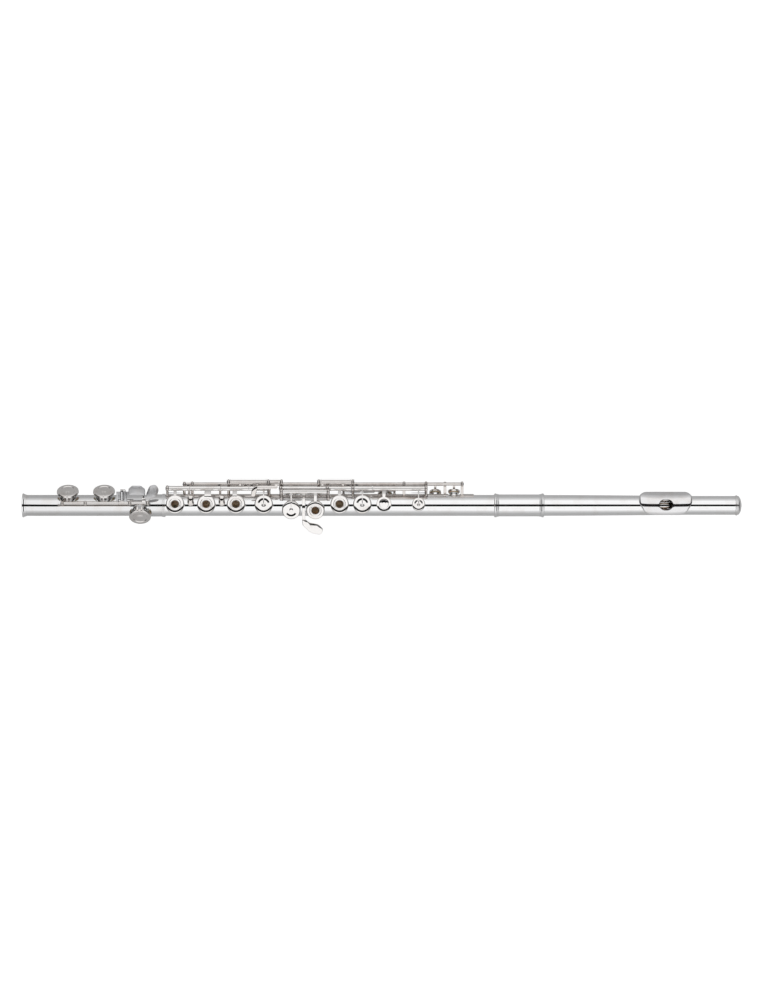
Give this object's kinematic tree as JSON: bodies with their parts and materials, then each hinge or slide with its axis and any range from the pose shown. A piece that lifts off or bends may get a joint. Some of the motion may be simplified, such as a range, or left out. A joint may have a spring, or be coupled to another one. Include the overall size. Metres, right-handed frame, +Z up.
{
  "type": "concert flute",
  "caption": "Concert flute with an open-hole key stack, offset keys, bridge tubes, trill keys, a sliding head joint with lip plate and a turning foot joint.",
  "frame": {"origin": "on the bore axis at the open end of the foot joint", "axes": "+X along the bore to the crown, +Y towards the player's side where the rods are, +Z up with the finger keys on top"},
  "size_m": [0.6797, 0.0519, 0.0378],
  "materials": {
    "tube_silver": "polished",
    "key_silver": "polished",
    "post_silver": "polished",
    "ring_silver": "polished",
    "lip_silver": "polished",
    "roller_silver": "polished",
    "hinge_steel": "satin",
    "spring_steel": "satin",
    "pad_skin": "matte",
    "cork": "matte"
  },
  "bodies": {
    "flute_body": {"body_tube": "tube_silver", "barrel": "tube_silver", "barrel_rings": "ring_silver", "body_ribs": "post_silver", "body_posts": "post_silver", "body_steels": "hinge_steel", "body_springs": "spring_steel"},
    "foot_joint": {"foot_tube": "tube_silver", "foot_rings": "ring_silver", "foot_rib": "post_silver", "foot_posts": "post_silver", "foot_steel": "hinge_steel"},
    "head_joint": {"head_tube": "tube_silver", "lip_plate": "lip_silver", "embouchure_riser": "lip_silver"},
    "crown_cap": {"crown": "ring_silver"},
    "stopper": {"stopper_cork": "cork", "stopper_screw": "hinge_steel"},
    "foot_c": {"foot_c_key": "key_silver", "foot_c_pad": "pad_skin"},
    "roller": {"c_roller": "roller_silver"},
    "foot_c_sharp": {"foot_c_sharp_key": "key_silver", "foot_c_sharp_pad": "pad_skin"},
    "foot_d_sharp": {"foot_d_sharp_key": "key_silver", "foot_d_sharp_pad": "pad_skin"},
    "d": {"d_key": "key_silver", "d_pad": "pad_skin"},
    "e": {"e_key": "key_silver", "e_pad": "pad_skin"},
    "f": {"f_key": "key_silver", "f_pad": "pad_skin"},
    "f_sharp": {"f_sharp_key": "key_silver", "f_sharp_pad": "pad_skin"},
    "a": {"a_key": "key_silver", "a_pad": "pad_skin"},
    "b_flat": {"b_flat_key": "key_silver", "b_flat_pad": "pad_skin"},
    "index": {"index_key": "key_silver", "index_pad": "pad_skin"},
    "g": {"g_key": "key_silver", "g_pad": "pad_skin"},
    "g_sharp": {"g_sharp_key": "key_silver", "g_sharp_pad": "pad_skin"},
    "thumb_b": {"thumb_b_key": "key_silver", "thumb_b_pad": "pad_skin"},
    "trill_d_sharp": {"trill_d_sharp_key": "key_silver", "trill_d_sharp_pad": "pad_skin"},
    "trill_d": {"trill_d_key": "key_silver", "trill_d_pad": "pad_skin"},
    "thumb_b_flat": {"thumb_b_flat_key": "key_silver"},
    "b_flat_lever": {"b_flat_lever": "key_silver"},
    "rh_bridge": {"rh_bridge": "key_silver"},
    "lh_bridge": {"lh_bridge": "key_silver"}
  },
  "joints": [
    {"name": "head_slide", "type": "slide", "parent": "flute_body", "child": "head_joint", "axis": [1, 0, 0], "range_m": [0, 0.043]},
    {"name": "foot_twist", "type": "hinge", "parent": "flute_body", "child": "foot_joint", "pos_m": [0.128, 0, 0], "axis": [1, 0, 0], "range_deg": [-30, 30]},
    {"name": "crown_turn", "type": "hinge", "parent": "head_joint", "child": "crown_cap", "pos_m": [0.675, 0, 0], "axis": [1, 0, 0], "range_deg": [-720, 720]},
    {"name": "stopper_travel", "type": "slide", "parent": "head_joint", "child": "stopper", "axis": [1, 0, 0], "range_m": [-0.002, 0.002]},
    {"name": "foot_c_close", "type": "hinge", "parent": "foot_joint", "child": "foot_c", "pos_m": [0.07, 0.0022, 0.0135], "axis": [-1, 0, 0], "range_deg": [0, 8.5], "stiffness_Nm_per_rad": 0.01, "springref_deg": -22.92},
    {"name": "roller_spin", "type": "hinge", "parent": "foot_c", "child": "roller", "pos_m": [0.0948, 0.00936, 0.01498], "axis": [0, 0.989, 0.1478], "continuous": true},
    {"name": "foot_c_sharp_close", "type": "hinge", "parent": "foot_joint", "child": "foot_c_sharp", "pos_m": [0.076, 0.0022, 0.0135], "axis": [-1, 0, 0], "range_deg": [0, 8.5], "stiffness_Nm_per_rad": 0.01, "springref_deg": -22.92},
    {"name": "foot_d_sharp_open", "type": "hinge", "parent": "foot_joint", "child": "foot_d_sharp", "pos_m": [0.111, 0.0022, 0.0135], "axis": [-1, 0, 0], "range_deg": [0, 8.5], "stiffness_Nm_per_rad": 0.01, "springref_deg": -22.92},
    {"name": "d_close", "type": "hinge", "parent": "flute_body", "child": "d", "pos_m": [0.145, 0.0161, 0.008], "axis": [1, 0, 0], "range_deg": [0, 8.5], "stiffness_Nm_per_rad": 0.01, "springref_deg": -22.92},
    {"name": "e_close", "type": "hinge", "parent": "flute_body", "child": "e", "pos_m": [0.173, 0.0161, 0.008], "axis": [1, 0, 0], "range_deg": [0, 8.5], "stiffness_Nm_per_rad": 0.01, "springref_deg": -22.92},
    {"name": "f_close", "type": "hinge", "parent": "flute_body", "child": "f", "pos_m": [0.201, 0.0161, 0.008], "axis": [1, 0, 0], "range_deg": [0, 8.5], "stiffness_Nm_per_rad": 0.01, "springref_deg": -22.92},
    {"name": "f_sharp_close", "type": "hinge", "parent": "flute_body", "child": "f_sharp", "pos_m": [0.223, 0.0161, 0.008], "axis": [1, 0, 0], "range_deg": [0, 8.5], "stiffness_Nm_per_rad": 0.01, "springref_deg": -22.92},
    {"name": "rh_bridge_turn", "type": "hinge", "parent": "flute_body", "child": "rh_bridge", "pos_m": [0.214, 0.022, 0.009], "axis": [1, 0, 0], "range_deg": [-8.5, 0]},
    {"name": "a_close", "type": "hinge", "parent": "flute_body", "child": "a", "pos_m": [0.3, 0.0161, 0.008], "axis": [1, 0, 0], "range_deg": [0, 8.5], "stiffness_Nm_per_rad": 0.01, "springref_deg": -22.92},
    {"name": "b_flat_close", "type": "hinge", "parent": "flute_body", "child": "b_flat", "pos_m": [0.322, 0.0161, 0.008], "axis": [1, 0, 0], "range_deg": [0, 8.5], "stiffness_Nm_per_rad": 0.01, "springref_deg": -22.92},
    {"name": "lh_bridge_turn", "type": "hinge", "parent": "flute_body", "child": "lh_bridge", "pos_m": [0.296, 0.022, 0.009], "axis": [1, 0, 0], "range_deg": [-8.5, 0]},
    {"name": "index_close", "type": "hinge", "parent": "flute_body", "child": "index", "pos_m": [0.355, 0.0161, 0.008], "axis": [1, 0, 0], "range_deg": [0, 8.5], "stiffness_Nm_per_rad": 0.01, "springref_deg": -22.92},
    {"name": "g_close", "type": "hinge", "parent": "flute_body", "child": "g", "pos_m": [0.267, 0.0128, 0.0128], "axis": [1, 0, 0], "range_deg": [0, 8.5], "stiffness_Nm_per_rad": 0.01, "springref_deg": -22.92},
    {"name": "g_sharp_open", "type": "hinge", "parent": "flute_body", "child": "g_sharp", "pos_m": [0.267, 0.0161, 0.008], "axis": [1, 0, 0], "range_deg": [0, 8.5], "stiffness_Nm_per_rad": 0.01, "springref_deg": -22.92},
    {"name": "thumb_b_close", "type": "hinge", "parent": "flute_body", "child": "thumb_b", "pos_m": [0.336, 0.0147, -0.0048], "axis": [-1, 0, 0], "range_deg": [0, 12], "stiffness_Nm_per_rad": 0.01, "springref_deg": -22.92},
    {"name": "thumb_b_flat_close", "type": "hinge", "parent": "flute_body", "child": "thumb_b_flat", "pos_m": [0.312, 0.0147, -0.0048], "axis": [-1, 0, 0], "range_deg": [0, 12], "stiffness_Nm_per_rad": 0.01, "springref_deg": -22.92},
    {"name": "trill_d_sharp_open", "type": "hinge", "parent": "flute_body", "child": "trill_d_sharp", "pos_m": [0.288, 0.0202, 0.0045], "axis": [1, 0, 0], "range_deg": [0, 8.5], "stiffness_Nm_per_rad": 0.01, "springref_deg": -22.92},
    {"name": "trill_d_open", "type": "hinge", "parent": "flute_body", "child": "trill_d", "pos_m": [0.276, 0.02, -0.0005], "axis": [1, 0, 0], "range_deg": [0, 8.5], "stiffness_Nm_per_rad": 0.01, "springref_deg": -22.92},
    {"name": "b_flat_lever_press", "type": "hinge", "parent": "flute_body", "child": "b_flat_lever", "pos_m": [0.24, 0.022, 0.009], "axis": [1, 0, 0], "range_deg": [0, 6], "stiffness_Nm_per_rad": 0.01, "springref_deg": -22.92}
  ],
  "couplings": [
    {"joint": "stopper_travel", "follows": "crown_turn", "m_per_rad": 0.00012},
    {"joint": "f_sharp_close", "follows": "f_close", "ratio": 1},
    {"joint": "rh_bridge_turn", "follows": "f_close", "ratio": -1},
    {"joint": "b_flat_close", "follows": "a_close", "ratio": 1},
    {"joint": "lh_bridge_turn", "follows": "a_close", "ratio": -1}
  ]
}
